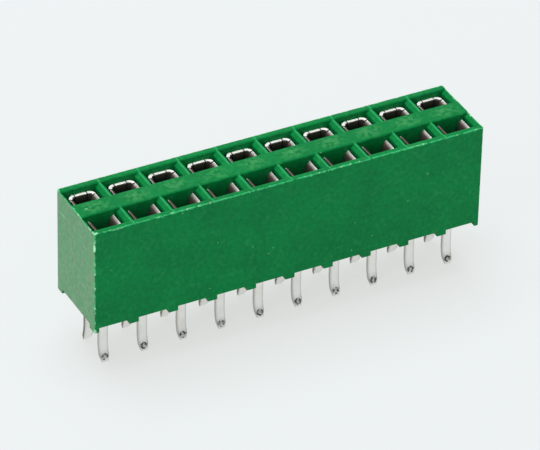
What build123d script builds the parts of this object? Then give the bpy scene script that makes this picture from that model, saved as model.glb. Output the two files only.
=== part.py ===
"""Two-row socket header for a circuit board: a moulded housing and its sprung, tin-plated contacts.

Millimetres. X runs along the rows, Y across them and Z up from the board, whose surface is Z = 0.
"""

from build123d import *
import os

os.makedirs("parts", exist_ok=True)

# Housing, driving dimensions
pitch = 2.54  # from socket to socket along a row
row_spacing = 2.54  # between the centre lines of the two rows
positions = 10  # sockets in each row
body_width = 5.08
body_height = 7.0  # board to mating face
foot_height = 0.3
foot_width = 0.6
foot_depth = 0.68
outer_wall = 0.42  # long side walls
middle_wall = 1.34  # between the rows
cross_wall = 0.54  # between neighbours in a row
floor_thickness = 0.7
trough_depth = 0.07  # the cross walls stop this far below the long walls
lead_in = 0.2  # slope at the mouth of each socket, 45 degrees
corner_round = 0.12
rim_bevel = 0.06
slot_clearance = 0.08  # between a tail and its slot in the floor

# Contact, driving dimensions
sheet = 0.2  # strip thickness
arm_clearance = 0.165  # between an arm and the cross wall beside it
plate_clearance = 0.02  # between the contact and the walls before and behind it
barb_clearance = 0.02
contact_setback = 0.4  # top of the contact below the mating face
base_height = 1.3  # closed channel at the foot of the arms
corner_radius = 0.38  # outside of the channel's bends
post_width = 0.415  # of each corner post, seen from behind
slit_width = 0.06
pin_width = 0.64  # square pin that the contact takes
grip_squeeze = 0.07  # how far each arm is pushed back by the pin
grip_depth = 1.25  # grip point below the contact's top
grip_radius = 0.5
arm_land = 0.06  # flat that an arm's sloped lead-in leaves on its top
barb_height = 0.6  # foot of the barb's ramp below the channel's top
barb_setback = 0.2  # its sharp edge below the channel's top
barb_width = 0.5
bend_radius = 0.25  # centre line of the bends under the back plate
tail_width = 0.6
tail_inset = 0.33  # the tail leaves the floor this far inside its row's centre line
tail_length = 3.25  # below the board's surface
kink_length = 0.8  # of the tail below the middle of its kink
kink_radius = 2.8
tip_length = 0.4
tip_taper = 0.1  # each side of the tip leans in by this much
tip_bevel = 0.06  # and each face by this much
tip_bevel_length = 0.2

# Housing, derived
body_length = positions * pitch
wall_face = body_width / 2 - outer_wall  # inner face of a long side wall
middle_face = middle_wall / 2
cavity_depth = wall_face - middle_face
cavity_line = (wall_face + middle_face) / 2
cavity_width = pitch - cross_wall
floor_top = foot_height + floor_thickness
trough_floor = body_height - trough_depth
row_line = row_spacing / 2

# Contact, derived
half_sheet = sheet / 2
contact_top = body_height - contact_setback
plate_back = wall_face - plate_clearance  # outer face of the back plate
plate_line = plate_back - half_sheet
open_edge = middle_face + plate_clearance  # free edges of the arms
side_face = cavity_width / 2 - arm_clearance  # outer face of an arm
side_line = side_face - half_sheet
corner_line = corner_radius - half_sheet
arm_back = plate_back - corner_radius  # where the corner posts begin
seat_line = floor_top + half_sheet
channel_bottom = seat_line + bend_radius
channel_top = channel_bottom + base_height
barb_start = (open_edge + arm_back - barb_width) / 2
slit_line = side_face - post_width - slit_width / 2
arm_face = side_face - sheet  # inner face of an arm at its root and at the mouth
grip_face = pin_width / 2 - grip_squeeze  # inner face where the arm meets the pin
grip_height = contact_top - grip_depth
tail_line = row_line - tail_inset
kink_slope = tail_inset / kink_length

# Tail slots reach from the tail's inner face to the far side of its kinked tip
slot_inner = tail_line - half_sheet - slot_clearance
slot_outer = row_line + half_sheet + slot_clearance
slot_line = (slot_inner + slot_outer) / 2


with BuildPart() as housing:
    with BuildSketch():
        RectangleRounded(body_length, body_width, corner_round)
    extrude(amount=body_height)
    chamfer(housing.faces().sort_by(Axis.Z)[-1].edges(), rim_bevel)

    # Undercut that leaves a foot at each cross wall, along both sides
    with BuildSketch():
        Rectangle(body_length, body_width)
        with GridLocations(pitch, body_width - foot_depth, positions + 1, 2):
            Rectangle(foot_width, foot_depth, mode=Mode.SUBTRACT)
    extrude(amount=foot_height, mode=Mode.SUBTRACT)

    # Sockets, down to the floor
    with BuildSketch(Plane.XY.offset(floor_top)):
        with GridLocations(pitch, 2 * cavity_line, positions, 2):
            Rectangle(cavity_width, cavity_depth)
    extrude(amount=body_height - floor_top, mode=Mode.SUBTRACT)

    # Shallow trough along each row, with sloped sides
    with BuildSketch(Plane.YZ):
        with BuildLine():
            Polyline(
                (middle_face - trough_depth, body_height),
                (middle_face, trough_floor),
                (wall_face, trough_floor),
                (wall_face + trough_depth, body_height),
                close=True,
            )
        make_face()
        mirror(about=Plane.YZ)
    extrude(amount=body_length / 2, both=True, mode=Mode.SUBTRACT)

    # Lead-in slopes on both sides of every cross wall
    for front in (-wall_face, middle_face):
        with BuildSketch(Plane.XZ.offset(-front)):
            with GridLocations(pitch, 0, positions, 1):
                with BuildLine():
                    Polyline(
                        (-cavity_width / 2, trough_floor - lead_in),
                        (cavity_width / 2, trough_floor - lead_in),
                        (cavity_width / 2 + lead_in, trough_floor),
                        (-cavity_width / 2 - lead_in, trough_floor),
                        close=True,
                    )
                make_face()
        extrude(amount=-cavity_depth, mode=Mode.SUBTRACT)

    # Slots for the tails
    with BuildSketch(Plane.XY.offset(foot_height)):
        with GridLocations(pitch, 2 * slot_line, positions, 2):
            Rectangle(tail_width + 2 * slot_clearance, slot_outer - slot_inner)
    extrude(amount=floor_thickness, mode=Mode.SUBTRACT)

housing.part.label = "housing"
export_step(housing.part, "parts/housing.step")


# One contact of the back row, on the row's middle line X = 0
with BuildPart() as contact:
    # Strip: back plate, seat on the cavity floor and kinked tail, in one thickness
    with BuildSketch(Plane.YZ):
        with BuildLine():
            FilletPolyline(
                (plate_line, channel_top),
                (plate_line, seat_line),
                (tail_line, seat_line),
                (tail_line, -tail_length + kink_length),
                (row_line + sheet * kink_slope, -tail_length - sheet),
                radius=[bend_radius, bend_radius, kink_radius],
            )
        trace(line_width=sheet)
    extrude(amount=tail_width / 2, both=True)
    with BuildSketch(Plane.XZ):
        with BuildLine():
            Polyline(
                (tail_width / 2, channel_top),
                (tail_width / 2, -tail_length + tip_length),
                (tail_width / 2 - tip_taper, -tail_length),
                (-tail_width / 2 + tip_taper, -tail_length),
                (-tail_width / 2, -tail_length + tip_length),
                (-tail_width / 2, channel_top),
                close=True,
            )
        make_face()
    extrude(amount=-body_width, mode=Mode.INTERSECT)
    tip = contact.faces().sort_by(Axis.Z)[0]
    chamfer(tip.edges().filter_by(Axis.X), tip_bevel, tip_bevel_length, reference=tip)

    # Channel, closed at its foot and open to the middle of the header
    with BuildSketch(Plane.XY.offset(channel_bottom)):
        with BuildLine():
            FilletPolyline(
                (-side_line, open_edge),
                (-side_line, plate_line),
                (side_line, plate_line),
                (side_line, open_edge),
                radius=corner_line,
            )
        trace(line_width=sheet)
    extrude(amount=contact_top - channel_bottom)

    # Above the foot, slits free a tongue from the two corner posts, and the sides make way for the arms
    with BuildSketch(Plane.XY.offset(channel_top)):
        with Locations((0, open_edge)):
            Rectangle(cavity_width, arm_back - open_edge, align=(Align.CENTER, Align.MIN))
        with Locations((-slit_line, plate_line), (slit_line, plate_line)):
            Rectangle(slit_width, 2 * sheet)
    extrude(amount=contact_top - channel_top, mode=Mode.SUBTRACT)

    # Sprung arms: in from the foot to the grip and out again to the mouth, with a sloped lead-in on top
    with BuildSketch(Plane.XZ.offset(-open_edge)) as arms:
        with BuildLine():
            for thickness in (0, sheet):
                FilletPolyline(
                    (arm_face + thickness, channel_top),
                    (grip_face + thickness, grip_height),
                    (arm_face + thickness, contact_top),
                    radius=grip_radius,
                )
            Line((arm_face, channel_top), (side_face, channel_top))
            Line((arm_face, contact_top), (side_face, contact_top))
        make_face()
        chamfer(arms.vertices().group_by(Axis.Y)[-1].sort_by(Axis.X)[0], sheet - arm_land)
        mirror(about=Plane.YZ)
    extrude(amount=-(arm_back - slit_width - open_edge))

    # Barbs that hold the channel in its socket
    with BuildSketch(Plane.XZ.offset(-barb_start)):
        with BuildLine():
            Polyline(
                (side_face, channel_top - barb_height),
                (cavity_width / 2 - barb_clearance, channel_top - barb_setback),
                (side_face, channel_top - barb_setback),
                close=True,
            )
        make_face()
        mirror(about=Plane.YZ)
    extrude(amount=-barb_width)

# Every contact of the back row, and the front row's turned to face them
for row, turn in (("back", 0), ("front", 180)):
    for number in range(positions):
        middle = (number - (positions - 1) / 2) * pitch
        with BuildPart() as seated:
            with Locations(Location((middle, 0, 0), (0, 0, turn))):
                add(contact.part)
        seated.part.label = f"{row}_contact_{number + 1:02d}"
        export_step(seated.part, f"parts/{seated.part.label}.step")
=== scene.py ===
from math import cos, pi, radians, sin, tan

import bmesh
import bpy
from mathutils import Matrix, Vector


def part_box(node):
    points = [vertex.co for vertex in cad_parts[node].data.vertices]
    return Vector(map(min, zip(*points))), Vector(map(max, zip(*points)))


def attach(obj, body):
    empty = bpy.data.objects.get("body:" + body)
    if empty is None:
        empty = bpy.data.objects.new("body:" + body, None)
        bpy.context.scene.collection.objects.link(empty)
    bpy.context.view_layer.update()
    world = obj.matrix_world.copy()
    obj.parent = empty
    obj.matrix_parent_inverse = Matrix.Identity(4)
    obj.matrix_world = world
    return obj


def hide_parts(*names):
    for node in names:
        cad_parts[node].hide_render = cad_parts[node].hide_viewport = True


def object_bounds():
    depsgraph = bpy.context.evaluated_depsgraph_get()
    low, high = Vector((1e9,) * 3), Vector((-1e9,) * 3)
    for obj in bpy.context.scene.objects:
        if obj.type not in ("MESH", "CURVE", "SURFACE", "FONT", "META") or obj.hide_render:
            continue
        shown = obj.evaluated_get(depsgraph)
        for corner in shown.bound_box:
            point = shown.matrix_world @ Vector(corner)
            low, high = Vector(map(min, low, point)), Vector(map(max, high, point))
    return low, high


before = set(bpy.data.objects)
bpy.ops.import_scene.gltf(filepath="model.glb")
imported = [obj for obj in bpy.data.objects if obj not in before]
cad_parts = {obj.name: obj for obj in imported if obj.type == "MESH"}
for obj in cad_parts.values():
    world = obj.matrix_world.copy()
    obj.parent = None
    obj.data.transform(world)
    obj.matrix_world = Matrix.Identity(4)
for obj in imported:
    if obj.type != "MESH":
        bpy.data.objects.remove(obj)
cadLow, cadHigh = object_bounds()

mm = 0.001  # pieces are modelled in millimetres and brought to metres as they are placed
hair = 0.001  # two points closer than this are one, in millimetres
bumpHeight = 0.00001  # of a material's grain at full strength, in metres
markFade = 0.2  # soft edge of a mark, as a share of its reach


def inMm(corner):
    return corner / mm


# Picking and shaping, in millimetres

def wholeOf(bm):
    return bm.verts[:] + bm.edges[:] + bm.faces[:]


def facesWithin(bm, low, high):
    picked = []
    for face in bm.faces:
        middle = face.calc_center_bounds()
        if all(low[k] < middle[k] < high[k] for k in range(3)):
            picked.append(face)
    return picked


def scoreFaces(bm, faces, axis, places):
    # cuts lines across these faces, at places along one axis
    across = Vector([axis == k for k in range(3)])
    patch = set(faces)
    for place in places:
        geom = {*patch, *(e for f in patch for e in f.edges), *(v for f in patch for v in f.verts)}
        made = bmesh.ops.bisect_plane(bm, geom=list(geom), plane_co=across * place,
                                      plane_no=across)
        patch = {g for g in made["geom"] if isinstance(g, bmesh.types.BMFace)}
    return list(patch)


def drawFaces(bm, faces, move):
    # draws a patch of faces out or in, and returns it in its new place
    made = bmesh.ops.extrude_face_region(bm, geom=faces)["geom"]
    bmesh.ops.delete(bm, geom=faces, context="FACES")
    bmesh.ops.translate(bm, verts=[g for g in made if isinstance(g, bmesh.types.BMVert)], vec=move)
    return [g for g in made if isinstance(g, bmesh.types.BMFace)]


def drawEdges(bm, row, move):
    # draws a row of edges out into a strip, and returns the far row
    if Vector(move).length < hair:
        return row
    made = bmesh.ops.extrude_edge_only(bm, edges=row)["geom"]
    moved = {g for g in made if isinstance(g, bmesh.types.BMVert)}
    bmesh.ops.translate(bm, verts=list(moved), vec=move)
    return [g for g in made if isinstance(g, bmesh.types.BMEdge) and moved.issuperset(g.verts)]


def foldEdges(bm, row, corners, radii, axis, steps):
    # draws a row of edges along a line, with a round bend at each inner corner
    here = corners[0]
    for number, radius in enumerate(radii, 1):
        ahead = (corners[number] - corners[number - 1]).normalized()
        after = (corners[number + 1] - corners[number]).normalized()
        side = 1 if axis.dot(ahead.cross(after)) > 0 else -1
        turn = ahead.angle(after)
        reach = radius * tan(turn / 2)
        start = corners[number] - ahead * reach
        row = drawEdges(bm, row, start - here)
        geom = [*row, *{v for e in row for v in e.verts}]
        made = bmesh.ops.spin(bm, geom=geom, cent=start + axis.cross(ahead) * side * radius,
                              axis=axis, angle=side * turn, steps=steps)["geom_last"]
        row = [g for g in made if isinstance(g, bmesh.types.BMEdge)]
        here = corners[number] + after * reach
    return drawEdges(bm, row, corners[-1] - here)


def sharpEdges(bm, least):
    # edges whose two faces turn by more than this many degrees
    return [e for e in bm.edges
            if len(e.link_faces) == 2 and e.calc_face_angle(0) > radians(least)]


def roundOff(bm, edges, width, segments):
    bmesh.ops.bevel(bm, geom=edges, offset=width, segments=segments, affect="EDGES",
                    profile=0.5, material=-1, clamp_overlap=True)


def withModifiers(name, bm, *modifiers):
    # the bmesh as a mesh, with these modifiers applied to it
    mesh = bpy.data.meshes.new(name)
    bm.to_mesh(mesh)
    bm.free()
    carrier = bpy.data.objects.new(name + "Draft", mesh)
    bpy.context.scene.collection.objects.link(carrier)
    for kind, settings in modifiers:
        modifier = carrier.modifiers.new(kind, kind)
        for key, value in settings.items():
            setattr(modifier, key, value)
    bpy.context.view_layer.update()
    carried = carrier.evaluated_get(bpy.context.evaluated_depsgraph_get())
    finished = bpy.data.meshes.new_from_object(carried)
    bpy.data.objects.remove(carrier)
    return finished


def placePiece(name, mesh, material, node, place=Matrix.Identity(4)):
    # the piece in metres, its object at the origin, riding with and standing for its node
    mesh = mesh.copy()
    mesh.transform(Matrix.Scale(mm, 4) @ place)
    mesh.materials.clear()
    mesh.materials.append(material)
    piece = bpy.data.objects.new(name, mesh)
    bpy.context.scene.collection.objects.link(piece)
    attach(piece, "root")
    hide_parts(node)


# Materials

def newMaterial(name):
    material = bpy.data.materials.new(name)
    material.use_nodes = True
    return material, material.node_tree


def addNode(tree, kind, inputs=(), **settings):
    node = tree.nodes.new(kind)
    for key, value in settings.items():
        setattr(node, key, value)
    for key, value in dict(inputs).items():
        node.inputs[key].default_value = value
    return node


def inMillimetres(tree):
    # object coordinates, scaled so that noise sizes read per millimetre
    place = addNode(tree, "ShaderNodeTexCoord")
    scaled = addNode(tree, "ShaderNodeMapping", {"Scale": (1 / mm, 1 / mm, 1 / mm)})
    tree.links.new(place.outputs["Object"], scaled.inputs["Vector"])
    return scaled.outputs["Vector"]


def addNoise(tree, where, scale, detail, roughness):
    settings = {"Scale": scale, "Detail": detail, "Roughness": roughness}
    noise = addNode(tree, "ShaderNodeTexNoise", settings)
    tree.links.new(where, noise.inputs["Vector"])
    return noise.outputs["Fac"]


def addRange(tree, value, low, high, outLow, outHigh):
    ends = {"From Min": low, "From Max": high, "To Min": outLow, "To Max": outHigh}
    spread = addNode(tree, "ShaderNodeMapRange", ends)
    tree.links.new(value, spread.inputs["Value"])
    return spread.outputs["Result"]


def addMath(tree, operation, first, second=0):
    node = addNode(tree, "ShaderNodeMath", operation=operation)
    for number, value in enumerate((first, second)):
        if isinstance(value, (int, float)):
            node.inputs[number].default_value = value
        else:
            tree.links.new(value, node.inputs[number])
    return node.outputs["Value"]


def addProduct(tree, *shares):
    product = shares[0]
    for share in shares[1:]:
        product = addMath(tree, "MULTIPLY", product, share)
    return product


def splitAxes(tree, vector):
    split = addNode(tree, "ShaderNodeSeparateXYZ")
    tree.links.new(vector, split.inputs["Vector"])
    return split.outputs["X"], split.outputs["Y"], split.outputs["Z"]


def addTint(tree, amount, base, tint, blend="MIX"):
    mix = addNode(tree, "ShaderNodeMix", data_type="RGBA", blend_type=blend)
    sources = (("Factor", "VALUE", amount), ("A", "RGBA", base), ("B", "RGBA", tint))
    for key, kind, value in sources:
        socket = [s for s in mix.inputs if s.name == key and s.type == kind][0]
        if isinstance(value, (int, float, tuple)):
            socket.default_value = value
        else:
            tree.links.new(value, socket)
    return [s for s in mix.outputs if s.type == "RGBA"][0]


def addMark(tree, where, middle, reach, ragged):
    # a soft-edged mark: 1 inside this ellipsoid, 0 outside, with a ragged outline
    shifted = addNode(tree, "ShaderNodeVectorMath", {1: middle}, operation="SUBTRACT")
    tree.links.new(where, shifted.inputs[0])
    sized = addNode(tree, "ShaderNodeVectorMath", {1: reach}, operation="DIVIDE")
    tree.links.new(shifted.outputs["Vector"], sized.inputs[0])
    length = addNode(tree, "ShaderNodeVectorMath", operation="LENGTH")
    tree.links.new(sized.outputs["Vector"], length.inputs[0])
    outline = addMath(tree, "ADD", length.outputs["Value"], ragged)
    return addRange(tree, outline, 1 + markFade, 1, 0, 1)


def addFromEnds(tree, axis, half):
    # distance in from the nearer end along one axis
    return addMath(tree, "SUBTRACT", half, addMath(tree, "ABSOLUTE", axis))


def finishShader(tree, look, colour, cloud, grain):
    shader = tree.nodes["Principled BSDF"]
    tree.links.new(colour, shader.inputs["Base Color"])
    tree.links.new(addRange(tree, cloud, *look["roughness"]), shader.inputs["Roughness"])
    shader.inputs["Specular IOR Level"].default_value = look["specular"]
    relief = {"Strength": look["grainDepth"], "Distance": bumpHeight}
    bump = addNode(tree, "ShaderNodeBump", relief)
    tree.links.new(grain, bump.inputs["Height"])
    tree.links.new(bump.outputs["Normal"], shader.inputs["Normal"])


# In both finishes a noise is given as its scale, detail and roughness, and a range as the
# two ends that a value has and the two that they become. Lengths are in millimetres.

plasticFinish = {
    "green": (0.001, 0.196, 0.044, 1),
    "deepGreen": (0.001, 0.158, 0.039, 1),
    "oliveGreen": (0.034, 0.232, 0.070, 1),
    "frostAndSheenGreen": (0.118, 0.290, 0.142, 1),  # the two ends: frosted skin and a painted sheen
    "duskyFrostAndSheen": (0.168, 0.262, 0.152, 1),  # clouds on them
    "wornAndHighlitGreen": (0.045, 0.47, 0.17, 1),  # rubbed edges, with a painted highlight
    "paleWear": (0.35, 0.70, 0.39, 1),  # chips, flecks and scratches
    "roughness": (0.3, 0.7, 0.42, 0.58),  # by the mottle
    "specular": 0.08,
    "grainDepth": 0.15,
    "noises": {
        "flow": (0.35, 3.0, 0.5),
        "mottle": (1.8, 4.0, 0.6),
        "patch": (3.6, 3.0, 0.6),
        "grain": (14.0, 3.0, 0.65),
        "fray": (3.4, 4.0, 0.75),
        "tear": (9.0, 3.0, 0.6),
        "flake": (5.5, 2.0, 0.6),
    },
    "deepShare": (0.40, 0.62, 0, 0.65),  # by the flow
    "oliveShare": (0.52, 0.80, 0, 0.30),  # by the mottle
    "shade": (0.3, 0.7, 0.85, 1.15),  # of every colour, by the patches
    "midWallPaleAlong": (0.85, -1, 0, 1),  # by a cosine wave that is -1 beside each pair of sockets
    "midWallPaleAcross": (0.62, 0.22, 0, 1),  # off the housing's middle line
    "midWallPaleTop": (0.15, 0.10, 0, 1),  # down from the top
    "midWallPalePatches": (0.43, 0.54, 0, 1),
    "frostAndSheen": (0.04, 0.02, 0, 1),  # in from each end
    "frostAndSheenClouds": (0.35, 0.60, 0.90, 1),
    "duskShare": (0.42, 0.68, 0, 0.75),
    "wearAndHighlightWidth": (0.35, 0.62, 0.010, 0.11),  # by the fray
    "wearAndHighlight": (0.0, -0.03, 0, 0.8),  # by how far outside that width
    "ridgeWidth": (0.028, 0.014, 0, 0.4),  # off a cross wall's middle, as a share of the pitch
    "ridgeTop": (0.03, 0.01),  # how far below the wall's top its wear ends and is full
    "ridgeAcross": (0.5, 0.7, 0, 1),  # off the housing's middle line
    "ragged": (0.3, 0.7, -0.25, 0.45),  # outline of a mark, by the tears
    "chipWidth": (0.11, 0.07, 0, 0.7),  # in from an edge
    "chipSpots": (0.60, 0.65, 0, 1),  # by the flakes
    "speckScale": 0.75,
    "specks": (0.045, 0.025, 0, 0.3),  # by the distance from a speck's middle
    "marks": {  # middle, reach and strength
        "cornerChip": ((-12.68, -2.46, 5.97), (0.07, 0.09, 0.29), 1.0),
        "topCorner": ((-12.60, -2.46, 6.98), (0.14, 0.09, 0.06), 0.8),
        "endFlecks": ((-12.66, -1.85, 6.98), (0.06, 0.30, 0.06), 1.0),
        "endNick": ((-12.68, -0.35, 6.98), (0.05, 0.08, 0.05), 0.6),
        "wallFleck": ((-12.02, -0.03, 7.00), (0.09, 0.04, 0.04), 0.6),
        "endScratch": ((-12.70, 1.75, 5.66), (0.06, 0.62, 0.020), 0.6),
        "footFleck": ((-12.66, -2.50, 0.12), (0.10, 0.08, 0.12), 0.8),
        "frontFleck": ((-11.20, -2.54, 6.93), (0.34, 0.05, 0.03), 0.35),
    },
}


def makePlastic(look, h):
    material, tree = newMaterial("mouldedGreenPlastic")
    where = inMillimetres(tree)
    x, y, z = splitAxes(tree, where)
    across = addMath(tree, "ABSOLUTE", y)
    fromEnd = addFromEnds(tree, x, h["length"] / 2)
    fromSide = addFromEnds(tree, y, h["width"] / 2)
    fromTop = addMath(tree, "SUBTRACT", h["height"], z)
    noises = {name: addNoise(tree, where, *noise) for name, noise in look["noises"].items()}
    mottle, patch = noises["mottle"], noises["patch"]

    # body colour, cloudy from the flow of the plastic
    deep = addRange(tree, noises["flow"], *look["deepShare"])
    colour = addTint(tree, deep, look["green"], look["deepGreen"])
    olive = addRange(tree, mottle, *look["oliveShare"])
    colour = addTint(tree, olive, colour, look["oliveGreen"])

    # paler patches along the middle wall's top, one beside each pair of sockets
    turns = addMath(tree, "MULTIPLY", x, 2 * pi * h["positions"] / h["length"])
    midWallPale = addProduct(tree,
                      addRange(tree, addMath(tree, "COSINE", turns), *look["midWallPaleAlong"]),
                      addRange(tree, across, *look["midWallPaleAcross"]),
                      addRange(tree, fromTop, *look["midWallPaleTop"]),
                      addRange(tree, patch, *look["midWallPalePatches"]))
    colour = addTint(tree, midWallPale, colour, look["oliveGreen"])

    # frosted skin at both ends, with a painted sheen that makes them paler
    frostAndSheen = addProduct(tree, addRange(tree, fromEnd, *look["frostAndSheen"]),
                       addRange(tree, mottle, *look["frostAndSheenClouds"]))
    dusk = addTint(tree, addRange(tree, mottle, *look["duskShare"]),
                   look["frostAndSheenGreen"], look["duskyFrostAndSheen"])
    colour = addTint(tree, frostAndSheen, colour, dusk)
    shade = addRange(tree, patch, *look["shade"])
    colour = addTint(tree, 1.0, colour, shade, "MULTIPLY")

    # rubbed edges with a painted highlight: the second nearest of the outer faces is as far off as
    # the nearest outer edge
    least = addMath(tree, "MINIMUM", fromEnd, fromSide)
    most = addMath(tree, "MAXIMUM", fromEnd, fromSide)
    fromEdge = addMath(tree, "MAXIMUM", least, addMath(tree, "MINIMUM", most, fromTop))
    wearAndHighlightWidth = addRange(tree, noises["fray"], *look["wearAndHighlightWidth"])
    outside = addMath(tree, "SUBTRACT", fromEdge, wearAndHighlightWidth)
    wornAndHighlit = addRange(tree, outside, *look["wearAndHighlight"])

    # and the ridge of each cross wall, rubbed and with a painted highlight
    cell = addMath(tree, "DIVIDE", x, h["length"] / h["positions"])
    offWall = addMath(tree, "PINGPONG", cell, 0.5)
    ridgeTop = [h["trough"] + depth for depth in look["ridgeTop"]]
    ridge = addProduct(tree, addRange(tree, offWall, *look["ridgeWidth"]),
                       addRange(tree, fromTop, *ridgeTop, 0, 1),
                       addRange(tree, across, *look["ridgeAcross"]))
    wornAndHighlit = addMath(tree, "MAXIMUM", wornAndHighlit, ridge)
    colour = addTint(tree, wornAndHighlit, colour, look["wornAndHighlitGreen"])

    # chips, flecks, scratches and specks
    ragged = addRange(tree, noises["tear"], *look["ragged"])
    pale = addProduct(tree, addRange(tree, fromEdge, *look["chipWidth"]),
                      addRange(tree, noises["flake"], *look["chipSpots"]))
    for middle, reach, strength in look["marks"].values():
        mark = addProduct(tree, addMark(tree, where, middle, reach, ragged), strength)
        pale = addMath(tree, "MAXIMUM", pale, mark)
    dots = addNode(tree, "ShaderNodeTexVoronoi", {"Scale": look["speckScale"]})
    tree.links.new(where, dots.inputs["Vector"])
    specks = addRange(tree, dots.outputs["Distance"], *look["specks"])
    pale = addMath(tree, "MAXIMUM", pale, specks)
    colour = addTint(tree, pale, colour, look["paleWear"])
    finishShader(tree, look, colour, mottle, noises["grain"])
    return material


tinFinish = {
    "tin": (0.89, 0.88, 0.855, 1),
    "dullTin": (0.77, 0.745, 0.71, 1),
    "brownStainAndShade": (0.115, 0.083, 0.070, 1),  # brown stain with painted shade inside the spring; also the painted shadow on arms and the tails' left edges
    "reflectedWallGreen": (0.022, 0.045, 0.030, 1),  # painted reflection of the green walls, in painted shade, further down
    "sideReflectionTin": (0.50, 0.48, 0.465, 1),  # painted darker reflection on the sides of the tails
    "tipReflectionGrey": (0.02, 0.022, 0.02, 1),  # painted reflection: a dark ring near each tip
    "roughness": (0.3, 0.7, 0.27, 0.38),  # by the streaks
    "specular": 0.15,
    "grainDepth": 0.01,
    "streakStretch": (9.0, 9.0, 0.9),
    "streak": (1.0, 3.0, 0.55),
    "noises": {
        "cloud": (1.4, 3.0, 0.5),
        "grain": (20.0, 2.0, 0.5),
        "spot": (6.5, 2.0, 0.6),
    },
    "dullShare": (0.45, 0.8, 0, 0.8),  # by the clouds
    "inside": (0, 1, 0, 1),  # by the height over the board: the stain, painted shade and painted shadow are in the housing
    "stainAndShade": (0.035, 0.10),  # below the contact's top, where the stain and painted shade begin and are full
    "paintedWallReflection": (0.09, 0.42),  # below it, where the painted reflection of the green walls begins and is full
    "paintedWallReflectionShare": 0.85,
    "paintedShadowSide": (-0.2, -0.4, 0, 0.85),  # off a socket's middle, towards its left arm
    "paintedShadowRow": (0, -0.1, 0, 1),  # in front of the middle wall
    "paintedShadowEnd": (0.14, 0.24),  # in from an arm's free edge, where the painted shadow begins and is full
    "below": (0.1, -0.1, 0, 1),  # by the height over the board: the tails are under it
    "roll": (0.17, 0.28, 0, 0.6),  # painted darker reflection, by the distance from a tail's middle
    "leftFace": (-0.4, -0.8, 0, 1),  # by the X of the surface's normal
    "leftStainAndShadeShare": (-0.1, 0.1, 0.35, 0.9),  # of brown stain and painted shade there, from the front row to the back
    "ring": (0.33, 0.15, 0.08),  # height above the tip, radius and half width of the ring
    "ringShare": 0.9,
    "ringFace": (0.4, 0.8, 0, 1),  # by how far the surface faces outward
    "ringSpots": (0.42, 0.50, 0.1, 1),  # gaps in the ring, by the spots
    "shearTop": 0.04,  # the sheared rim of the mouth reaches this far down, and is matt
    "shearShare": (0.6, 0.95),  # how matt it is on the arms, and on posts and tongue
    "stainAndShadeMatt": 0.6,
}


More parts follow.
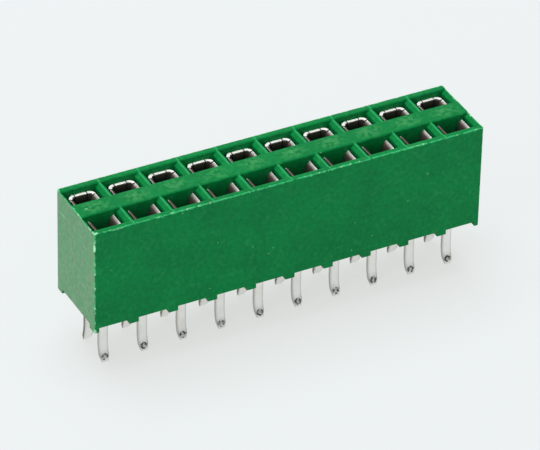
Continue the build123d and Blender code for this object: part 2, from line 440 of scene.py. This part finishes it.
def makeTin(look, c):
    material, tree = newMaterial("tinPlatedStrip")
    where = inMillimetres(tree)
    x, y, z = splitAxes(tree, where)
    drawn = addNode(tree, "ShaderNodeMapping", {"Scale": look["streakStretch"]})
    tree.links.new(where, drawn.inputs["Vector"])
    streak = addNoise(tree, drawn.outputs["Vector"], *look["streak"])
    noises = {name: addNoise(tree, where, *noise) for name, noise in look["noises"].items()}
    dull = addRange(tree, noises["cloud"], *look["dullShare"])
    colour = addTint(tree, dull, look["tin"], look["dullTin"])

    # stain and painted shade inside the spring, from just under its rim, and a painted reflection
    # of the green walls further down
    inside = addRange(tree, z, *look["inside"])
    stainAndShadeEnds = [c["top"] - depth for depth in look["stainAndShade"]]
    stainAndShade = addProduct(tree, addRange(tree, z, *stainAndShadeEnds, 0, 1), inside)
    colour = addTint(tree, stainAndShade, colour, look["brownStainAndShade"])
    paintedWallReflectionEnds = [c["top"] - depth for depth in look["paintedWallReflection"]]
    paintedWallReflection = addProduct(tree, stainAndShade, addRange(tree, z, *paintedWallReflectionEnds, 0, look["paintedWallReflectionShare"]))
    colour = addTint(tree, paintedWallReflection, colour, look["reflectedWallGreen"])

    # painted shadow of the cross walls on the rims of the front row's left arms, which leaves
    # their free ends bright
    cell = addMath(tree, "FRACT", addMath(tree, "DIVIDE", x, c["pitch"]))
    offMiddle = addProduct(tree, addMath(tree, "SUBTRACT", cell, 0.5), c["pitch"])
    depth = addMath(tree, "ABSOLUTE", y)
    paintedShadowEnds = [c["openEdge"] + reach for reach in look["paintedShadowEnd"]]
    paintedShadow = addProduct(tree, addRange(tree, offMiddle, *look["paintedShadowSide"]),
                         addRange(tree, y, *look["paintedShadowRow"]),
                         addRange(tree, depth, *paintedShadowEnds, 0, 1), inside)
    colour = addTint(tree, paintedShadow, colour, look["brownStainAndShade"])

    # tails: sides greyer with a painted reflection, and left edges brown with stain and painted
    # shade, darker in the back row
    below = addRange(tree, z, *look["below"])
    offMiddle = addMath(tree, "ABSOLUTE", offMiddle)
    sides = addProduct(tree, addRange(tree, offMiddle, *look["roll"]), below)
    colour = addTint(tree, sides, colour, look["sideReflectionTin"])
    normal = addNode(tree, "ShaderNodeTexCoord").outputs["Normal"]
    facingX, facingY, _ = splitAxes(tree, normal)
    edges = addProduct(tree, addRange(tree, facingX, *look["leftFace"]), below,
                       addRange(tree, y, *look["leftStainAndShadeShare"]))
    colour = addTint(tree, edges, colour, look["brownStainAndShade"])

    # painted reflection: a dark broken ring on the outer face of each tip
    height, radius, width = look["ring"]
    offTip = addMath(tree, "SUBTRACT", z, c["tip"] + height)
    square = addMath(tree, "ADD", addProduct(tree, offMiddle, offMiddle),
                     addProduct(tree, offTip, offTip))
    off = addMath(tree, "SUBTRACT", addMath(tree, "SQRT", square), radius)
    off = addMath(tree, "ABSOLUTE", off)
    ring = addProduct(tree, addRange(tree, off, width, width / 2, 0, look["ringShare"]),
                      addRange(tree, addProduct(tree, facingY, y), *look["ringFace"]),
                      addRange(tree, noises["spot"], *look["ringSpots"]))
    colour = addTint(tree, ring, colour, look["tipReflectionGrey"])

    # the cut rims are matt, most of all on posts and tongue, and so are the stain with its painted
    # shade and the painted shadow
    armsEnd = c["back"] - c["cornerRadius"]
    shearLow = c["top"] - look["shearTop"]
    shear = addProduct(tree, addRange(tree, z, shearLow, c["top"], 0, 1),
                       addRange(tree, depth, armsEnd - c["slit"], armsEnd, *look["shearShare"]))
    matt = addMath(tree, "MAXIMUM", shear, addProduct(tree, stainAndShade, look["stainAndShadeMatt"]))
    matt = addMath(tree, "MAXIMUM", matt, paintedShadow)
    metal = addMath(tree, "SUBTRACT", 1, matt)
    tree.links.new(metal, tree.nodes["Principled BSDF"].inputs["Metallic"])
    grain = addMath(tree, "ADD", streak, noises["grain"])
    finishShader(tree, look, colour, streak, grain)
    return material


# Housing

bodyLow, bodyHigh = (inMm(corner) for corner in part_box("housing"))
housing = {
    "length": bodyHigh.x - bodyLow.x,
    "width": bodyHigh.y - bodyLow.y,
    "height": bodyHigh.z,
    "positions": 10,
    "footHeight": 0.3,
    "footWidth": 0.6,
    "footDepth": 0.68,
    "outerWall": 0.42,
    "middleWall": 1.34,
    "crossWall": 0.54,
    "floor": 0.7,  # thickness
    "trough": 0.07,  # the cross walls stop this far below the long walls
    "leadIn": 0.2,  # slope at the mouth of each socket
    "cornerRound": (0.12, 4),  # radius and segments of its upright corners
    "rimRound": (0.06, 3),
    "edgeRound": (0.025, 2),  # mould radius of every other edge
    "edgeAngle": 35,  # and the least turn, in degrees, that counts as one
    "slotWidth": 0.76,  # tail slots in the floor
    "slotInner": 0.76,  # their near and far sides, from the middle of the housing
    "slotOuter": 1.45,
}


def buildHousing(h):
    pitch = h["length"] / h["positions"]
    middles = [(number - (h["positions"] - 1) / 2) * pitch for number in range(h["positions"])]
    halfWidth = h["width"] / 2
    wallFace = halfWidth - h["outerWall"]
    middleFace = h["middleWall"] / 2
    halfMouth = (pitch - h["crossWall"]) / 2
    troughFloor = h["height"] - h["trough"]
    floorTop = h["footHeight"] + h["floor"]
    endX = h["length"] / 2

    bm = bmesh.new()
    bmesh.ops.create_cube(bm, size=1)
    block = (h["length"], h["width"], h["height"] - h["footHeight"])
    bmesh.ops.scale(bm, verts=bm.verts, vec=block)
    bmesh.ops.translate(bm, verts=bm.verts, vec=(0, 0, (h["height"] + h["footHeight"]) / 2))
    upright = [e for e in bm.edges if abs(e.verts[0].co.z - e.verts[1].co.z) > hair]
    roundOff(bm, upright, *h["cornerRound"])
    rim = [e for e in bm.edges if all(v.co.z > h["height"] - hair for v in e.verts)]
    roundOff(bm, rim, *h["rimRound"])

    # top: shallow trough along each row, with sloped sides
    top = facesWithin(bm, (-endX, -halfWidth, troughFloor), (endX, halfWidth, h["height"] + hair))
    sides = [middleFace - h["trough"], middleFace, wallFace, wallFace + h["trough"]]
    top = scoreFaces(bm, top, 1, [sign * side for sign in (-1, 1) for side in sides])
    for vert in {v for f in top for v in f.verts}:
        if middleFace - hair < abs(vert.co.y) < wallFace + hair:
            vert.co.z = troughFloor

    # sockets, with a sloped lead-in on each cross wall
    reach = halfMouth + h["leadIn"]
    mouthSides = (-reach, -halfMouth, halfMouth, reach)
    scoreFaces(bm, top, 0, [middle + side for middle in middles for side in mouthSides])
    for middle in middles:
        for near, far in ((-wallFace, -middleFace), (middleFace, wallFace)):
            low = (middle - reach, near, troughFloor - hair)
            high = (middle + reach, far, troughFloor + hair)
            mouth = drawFaces(bm, facesWithin(bm, low, high), (0, 0, -h["leadIn"]))
            for vert in {v for f in mouth for v in f.verts}:
                if abs(vert.co.x - middle) > halfMouth + hair:
                    vert.co.z = troughFloor
            hole = [f for f in mouth if abs(f.calc_center_bounds().x - middle) < halfMouth]
            drawFaces(bm, hole, (0, 0, floorTop - troughFloor + h["leadIn"]))
    bmesh.ops.remove_doubles(bm, verts=bm.verts, dist=hair)

    # underside: a foot at each cross wall, and slots for the tails
    under = facesWithin(bm, (-endX, -halfWidth, 0), (endX, halfWidth, h["footHeight"] + hair))
    footSide = halfWidth - h["footDepth"]
    slotSides = [sign * side for sign in (-1, 1) for side in (h["slotInner"], h["slotOuter"])]
    under = scoreFaces(bm, under, 1, [*slotSides, -footSide, footSide])
    walls = [middles[0] - pitch / 2 + number * pitch for number in range(h["positions"] + 1)]
    halfFoot = h["footWidth"] / 2
    footSides = [wall + side for wall in walls for side in (-halfFoot, halfFoot)]
    halfSlot = h["slotWidth"] / 2
    slotEnds = [middle + side for middle in middles for side in (-halfSlot, halfSlot)]
    scoreFaces(bm, under, 0, [*footSides[1:-1], *slotEnds])
    for wall in walls:
        for near, far in ((-halfWidth, -footSide), (footSide, halfWidth)):
            low = (wall - halfFoot, near, h["footHeight"] - hair)
            high = (wall + halfFoot, far, h["footHeight"] + hair)
            drawFaces(bm, facesWithin(bm, low, high), (0, 0, -h["footHeight"]))
    low, high = (-endX, -halfWidth, floorTop - hair), (endX, halfWidth, floorTop + hair)
    floors = scoreFaces(bm, facesWithin(bm, low, high), 1, slotSides)
    scoreFaces(bm, floors, 0, slotEnds)
    for middle in middles:
        for near, far in ((-h["slotOuter"], -h["slotInner"]), (h["slotInner"], h["slotOuter"])):
            for level in (h["footHeight"], floorTop):
                low = (middle - halfSlot, near, level - hair)
                high = (middle + halfSlot, far, level + hair)
                patch = facesWithin(bm, low, high)
                if level == floorTop:
                    patch = drawFaces(bm, patch, (0, 0, -h["floor"]))
                bmesh.ops.delete(bm, geom=patch, context="FACES")
    bmesh.ops.remove_doubles(bm, verts=bm.verts, dist=hair)
    bmesh.ops.recalc_face_normals(bm, faces=bm.faces)
    roundOff(bm, sharpEdges(bm, h["edgeAngle"]), *h["edgeRound"])
    for face in bm.faces:
        face.smooth = True
    return withModifiers("housingShell", bm, ("WEIGHTED_NORMAL", {"keep_sharp": True}))


# Contact

contactLow, contactHigh = (inMm(corner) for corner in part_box("back_contact_01"))
contact = {
    "sheet": 0.2,
    "top": contactHigh.z,
    "tip": contactLow.z,
    "back": contactHigh.y,  # outer face of the back plate
    "openEdge": contactLow.y,  # free edges of the arms
    "outerWidth": 1.67,
    "cornerRadius": 0.38,
    "cornerSteps": 6,
    "tongueWidth": 0.72,
    "slit": 0.06,
    "seat": housing["footHeight"] + housing["floor"],  # the strip lies on the housing's floor here
    "bend": 0.25,
    "footHeight": 1.3,  # closed channel under the arms
    "gripGap": 0.5,  # between the arms at the grip
    "gripDepth": 1.25,
    "gripBend": 0.5,
    "gripSteps": 6,
    "armLand": 0.06,  # flat that the sloped lead-in leaves on top of an arm
    "barbHeight": 0.6,  # a barb reaches from here
    "barbSetback": 0.2,  # to here, below the top of the channel
    "barbWidth": 0.5,
    "barbReach": contactHigh.x - contactLow.x,  # from the edge of one barb to the other's
    "tailWidth": 0.6,
    "tailLine": 0.94,  # where a tail leaves the housing, from the housing's middle line
    "rowLine": 1.27,  # and where its tip is
    "kinkLength": 0.8,  # of the tail below the middle of its kink
    "kinkBend": 2.8,
    "tailSteps": 8,  # in each bend below the channel
    "tipLength": 0.4,
    "tipTaper": 0.1,  # each side of the tip leans in by this much
    "tipBevel": 0.06,  # and each face by this much
    "tipBevelLength": 0.2,
    "edgeRound": (0.02, 2),  # radius and segments
    "edgeAngle": 40,  # least turn of an edge that is rounded, in degrees
    "creaseAngle": 16,  # and of one that shows as an edge
    "pitch": housing["length"] / housing["positions"],
}


def buildContact(c):
    half = c["sheet"] / 2
    plate = c["back"] - half
    side = c["outerWidth"] / 2 - half
    corner = c["cornerRadius"] - half
    postStart = c["back"] - c["cornerRadius"]
    seat = c["seat"] + half
    channelLow = seat + c["bend"]
    channelHigh = channelLow + c["footHeight"]
    grip = c["gripGap"] / 2 + half
    halfTail = c["tailWidth"] / 2
    halfTongue = c["tongueWidth"] / 2
    barbLow = (c["openEdge"] + postStart - c["barbWidth"]) / 2
    armEnd = postStart - c["slit"]

    # the right half's middle surface, drawn from the outline of its channel seen from above
    bm = bmesh.new()
    here = bm.verts.new((0, plate, channelLow))
    for x in (halfTail, halfTongue, halfTongue + c["slit"], side - corner):
        there = bm.verts.new((x, plate, channelLow))
        bm.edges.new((here, there))
        here = there
    made = bmesh.ops.spin(bm, geom=[here], cent=(side - corner, plate - corner, channelLow),
                          axis=(0, 0, 1), angle=radians(-90), steps=c["cornerSteps"])["geom_last"]
    here = [g for g in made if isinstance(g, bmesh.types.BMVert)][0]
    for y in (armEnd, barbLow + c["barbWidth"], barbLow, c["openEdge"]):
        there = bm.verts.new((side, y, channelLow))
        bm.edges.new((here, there))
        here = there
    row = bm.edges[:]
    root = [e for e in row if all(v.co.x < halfTail + hair for v in e.verts)]
    level = channelLow
    for height in (channelHigh - c["barbHeight"], channelHigh - c["barbSetback"], channelHigh):
        row = drawEdges(bm, row, (0, 0, height - level))
        level = height

    # above the foot: tongue, corner post and sprung arm, with slits between them
    def between(low, high, axis):
        return [e for e in row if all(low - hair < v.co[axis] < high + hair for v in e.verts)]

    rise = (0, 0, c["top"] - channelHigh)
    drawEdges(bm, between(0, halfTongue, 0), rise)
    drawEdges(bm, [e for e in between(halfTongue + c["slit"], side, 0)
                   if all(v.co.y > postStart - hair for v in e.verts)], rise)
    arm = [(side, channelHigh), (grip, c["top"] - c["gripDepth"]), (side, c["top"])]
    foldEdges(bm, between(c["openEdge"], armEnd, 1), [Vector((x, 0, z)) for x, z in arm],
              [c["gripBend"]], Vector((0, 1, 0)), c["gripSteps"])

    # below the back plate: seat on the floor and kinked tail, a little too long
    slope = (c["rowLine"] - c["tailLine"]) / c["kinkLength"]
    tail = [(plate, channelLow), (plate, seat), (c["tailLine"], seat),
            (c["tailLine"], c["tip"] + c["kinkLength"]),
            (c["rowLine"] + c["sheet"] * slope, c["tip"] - c["sheet"])]
    foldEdges(bm, root, [Vector((0, y, z)) for y, z in tail],
              [c["bend"], c["bend"], c["kinkBend"]], Vector((1, 0, 0)), c["tailSteps"])

    bmesh.ops.mirror(bm, geom=wholeOf(bm), merge_dist=hair, axis="X")
    bmesh.ops.remove_doubles(bm, verts=bm.verts, dist=hair)
    bmesh.ops.recalc_face_normals(bm, faces=bm.faces)
    thick = withModifiers("strip", bm, ("SOLIDIFY", {"thickness": c["sheet"], "offset": 0,
                                                     "use_even_offset": True}))

    # tip of the tail, cut level, with its sides and faces leaning in
    bm = bmesh.new()
    bm.from_mesh(thick)
    for level in (c["tip"] + c["tipLength"], c["tip"] + c["tipBevelLength"]):
        bmesh.ops.bisect_plane(bm, geom=wholeOf(bm), plane_co=(0, 0, level), plane_no=(0, 0, 1))
    cut = bmesh.ops.bisect_plane(bm, geom=wholeOf(bm), plane_co=(0, 0, c["tip"]),
                                 plane_no=(0, 0, -1), clear_outer=True)["geom_cut"]
    bmesh.ops.holes_fill(bm, edges=[g for g in cut if isinstance(g, bmesh.types.BMEdge)])
    for vert in bm.verts:
        taper = c["tipTaper"] * (1 - (vert.co.z - c["tip"]) / c["tipLength"])
        bevel = c["tipBevel"] * (1 - (vert.co.z - c["tip"]) / c["tipBevelLength"])
        middle = c["rowLine"] - slope * (vert.co.z - c["tip"])
        if taper > 0:
            vert.co.x -= taper if vert.co.x > 0 else -taper
        if bevel > 0:
            vert.co.y -= bevel if vert.co.y > middle else -bevel

    # mouths of the arms, cut level, with a sloped lead-in
    for vert in bm.verts:
        if vert.co.z > c["top"] - half:
            vert.co.z = c["top"]

    def onArm(point):
        return (point.z > c["top"] - hair and abs(point.x) < side
                and c["openEdge"] - hair < point.y < armEnd + hair)

    inner = [e for e in bm.edges if all(onArm(v.co) for v in e.verts)
             and abs(e.verts[0].co.y - e.verts[1].co.y) > half]
    roundOff(bm, inner, c["sheet"] - c["armLand"], 1)

    # barbs, pushed out of the sides of the foot
    for sign in (-1, 1):
        middle = Vector((sign * c["outerWidth"] / 2, barbLow + c["barbWidth"] / 2,
                         channelHigh - (c["barbHeight"] + c["barbSetback"]) / 2))
        reach = Vector((half / 2, c["barbWidth"] / 2, (c["barbHeight"] - c["barbSetback"]) / 2))
        barb = drawFaces(bm, facesWithin(bm, middle - reach, middle + reach), (0, 0, 0))
        for vert in {v for f in barb for v in f.verts}:
            if vert.co.z > middle.z:
                vert.co.x = sign * c["barbReach"] / 2
    bmesh.ops.remove_doubles(bm, verts=bm.verts, dist=hair)
    bmesh.ops.recalc_face_normals(bm, faces=bm.faces)
    for edge in sharpEdges(bm, c["creaseAngle"]):
        edge.smooth = False
    rounded = sharpEdges(bm, c["edgeAngle"])
    for edge in rounded:
        edge.smooth = True
    roundOff(bm, rounded, *c["edgeRound"])
    for face in bm.faces:
        face.smooth = True
    return withModifiers("contactStrip", bm, ("WEIGHTED_NORMAL", {"keep_sharp": True}))


# Build

plastic = makePlastic(plasticFinish, housing)
tin = makeTin(tinFinish, contact)
housingMesh = buildHousing(housing)
placePiece("mouldedHousing", housingMesh, plastic, "housing")
print("housing:", len(housingMesh.polygons), "faces")

contactMesh = buildContact(contact)
pitch = housing["length"] / housing["positions"]
for row, turn in (("back", 0), ("front", 180)):
    for number in range(housing["positions"]):
        middle = (number - (housing["positions"] - 1) / 2) * pitch
        place = Matrix.Translation((middle, 0, 0)) @ Matrix.Rotation(radians(turn), 4, "Z")
        name = f"{row}_contact_{number + 1:02d}"
        placePiece(name + "_strip", contactMesh, tin, name, place)
print("contacts:", len(contactMesh.polygons), "faces each")


# Floor, light and camera

studio = {
    "floorColour": (0.665, 0.755, 0.845, 1),
    "floorGlow": 0.76,  # share of the floor's colour that camera and metal see unshaded
    "floorRoughness": 0.9,
    "floorSize": 4.0,  # in metres
    "paleGround": (0.845, 0.852, 0.822, 1),
    "ambient": 0.55,  # strength of the light from all round
    "white": (1, 1, 1, 1),
    "darkSide": (0.05, 0.05, 0.05, 1),  # unlit side of the room, in front, seen by gloss only
    "darkSideWay": (-0.2, -0.45),  # where it begins and is full, as the Y of the way to it
    "darkSideHeight": (0.45, 0.225),  # and where it ends and is full, as the sine of the elevation
    "dimCeiling": (0.24, 0.25, 0.25, 1),  # seen by gloss only
    "ceilingHeight": (0.42, 0.60),  # where it begins and is full, as sines too
}


def seenDirectly(tree):
    # 1 for rays from the camera and for those that metal or glass sends on
    rays = addNode(tree, "ShaderNodeLightPath")
    seen = addMath(tree, "MAXIMUM", rays.outputs["Is Camera Ray"], rays.outputs["Is Glossy Ray"])
    return addMath(tree, "MAXIMUM", seen, rays.outputs["Is Transmission Ray"])


def makeFloor(s):
    bm = bmesh.new()
    bmesh.ops.create_grid(bm, x_segments=1, y_segments=1, size=s["floorSize"] / 2)
    bmesh.ops.translate(bm, verts=bm.verts, vec=(0, 0, cadLow.z))
    mesh = bpy.data.meshes.new("floor")
    bm.to_mesh(mesh)
    bm.free()
    material, tree = newMaterial("paleFloor")
    shader = tree.nodes["Principled BSDF"]
    shader.inputs["Base Color"].default_value = s["floorColour"]
    shader.inputs["Roughness"].default_value = s["floorRoughness"]
    shader.inputs["Specular IOR Level"].default_value = 0
    glow = addNode(tree, "ShaderNodeEmission", {"Color": s["paleGround"], "Strength": 1.0})
    mix = addNode(tree, "ShaderNodeMixShader")
    tree.links.new(addProduct(tree, seenDirectly(tree), s["floorGlow"]), mix.inputs["Fac"])
    tree.links.new(shader.outputs["BSDF"], mix.inputs[1])
    tree.links.new(glow.outputs["Emission"], mix.inputs[2])
    tree.links.new(mix.outputs["Shader"], tree.nodes["Material Output"].inputs["Surface"])
    mesh.materials.append(material)
    floor = bpy.data.objects.new("floor", mesh)
    bpy.context.scene.collection.objects.link(floor)


def makeWorld(s):
    world = bpy.data.worlds.new("studio")
    world.use_nodes = True
    bpy.context.scene.world = world
    tree = world.node_tree
    light = tree.nodes["Background"]
    light.inputs["Color"].default_value = s["white"]
    light.inputs["Strength"].default_value = s["ambient"]
    shown = addNode(tree, "ShaderNodeBackground", {"Color": s["paleGround"], "Strength": 1.0})
    mix = addNode(tree, "ShaderNodeMixShader")
    tree.links.new(seenDirectly(tree), mix.inputs["Fac"])
    glossy = addNode(tree, "ShaderNodeLightPath").outputs["Is Glossy Ray"]
    way = addNode(tree, "ShaderNodeTexCoord").outputs["Generated"]
    _, wayY, wayZ = splitAxes(tree, way)
    dark = addProduct(tree, addRange(tree, wayY, *s["darkSideWay"], 0, 1),
                      addRange(tree, wayZ, *s["darkSideHeight"], 0, 1), glossy)
    overhead = addProduct(tree, glossy, addRange(tree, wayZ, *s["ceilingHeight"], 0, 1))
    around = addTint(tree, overhead, s["paleGround"], s["dimCeiling"])
    around = addTint(tree, dark, around, s["darkSide"])
    tree.links.new(around, shown.inputs["Color"])
    tree.links.new(light.outputs["Background"], mix.inputs[1])
    tree.links.new(shown.outputs["Background"], mix.inputs[2])
    tree.links.new(mix.outputs["Shader"], tree.nodes["World Output"].inputs["Surface"])


softboxes = {  # in metres and watts
    "left": {"place": (-0.45, -0.18, 0.22), "size": 0.35, "power": 1.0},
    "above": {"place": (-0.05, 0.12, 0.60), "size": 0.50, "power": 3.25},
}


def makeLamp(name, lamp):
    data = bpy.data.lights.new(name, "AREA")
    data.shape = "SQUARE"
    data.size = lamp["size"]
    data.energy = lamp["power"]
    box = bpy.data.objects.new(name, data)
    box.location = lamp["place"]
    box.rotation_euler = (-Vector(lamp["place"])).to_track_quat("-Z", "Y").to_euler()
    bpy.context.scene.collection.objects.link(box)


shot = {
    "azimuth": -28.03,  # degrees from straight in front, towards the left end
    "elevation": 35.0,
    "roll": 1.42,
    "distance": 0.2759,  # in metres, as are the two aims
    "lens": 311.14,  # in millimetres, as is the sensor's width
    "sensor": 36,
    "clip": (0.1, 100),  # nearest and farthest that it sees, as multiples of the distance
    "aimAcross": -0.00006,  # aim point from the origin, in the picture's plane
    "aimUp": 0.00182,
}


def makeCamera(s):
    turn, tilt, roll = (radians(s[key]) for key in ("azimuth", "elevation", "roll"))
    back = Vector((sin(turn) * cos(tilt), -cos(turn) * cos(tilt), sin(tilt)))
    across = Vector((cos(turn), sin(turn), 0))
    up = back.cross(across)
    data = bpy.data.cameras.new("view")
    data.sensor_width = s["sensor"]
    data.lens = s["lens"]
    data.clip_start, data.clip_end = (s["distance"] * multiple for multiple in s["clip"])
    camera = bpy.data.objects.new("view", data)
    axes = (across * cos(roll) + up * sin(roll), up * cos(roll) - across * sin(roll), back)
    stand = Matrix(axes).transposed().to_4x4()
    stand.translation = across * s["aimAcross"] + up * s["aimUp"] + back * s["distance"]
    camera.matrix_world = stand
    bpy.context.scene.collection.objects.link(camera)
    bpy.context.scene.camera = camera


makeFloor(studio)
makeWorld(studio)
for lampName, lampSettings in softboxes.items():
    makeLamp(lampName, lampSettings)
makeCamera(shot)
bpy.context.scene.view_settings.view_transform = "Standard"
print("floor, light and camera are set")
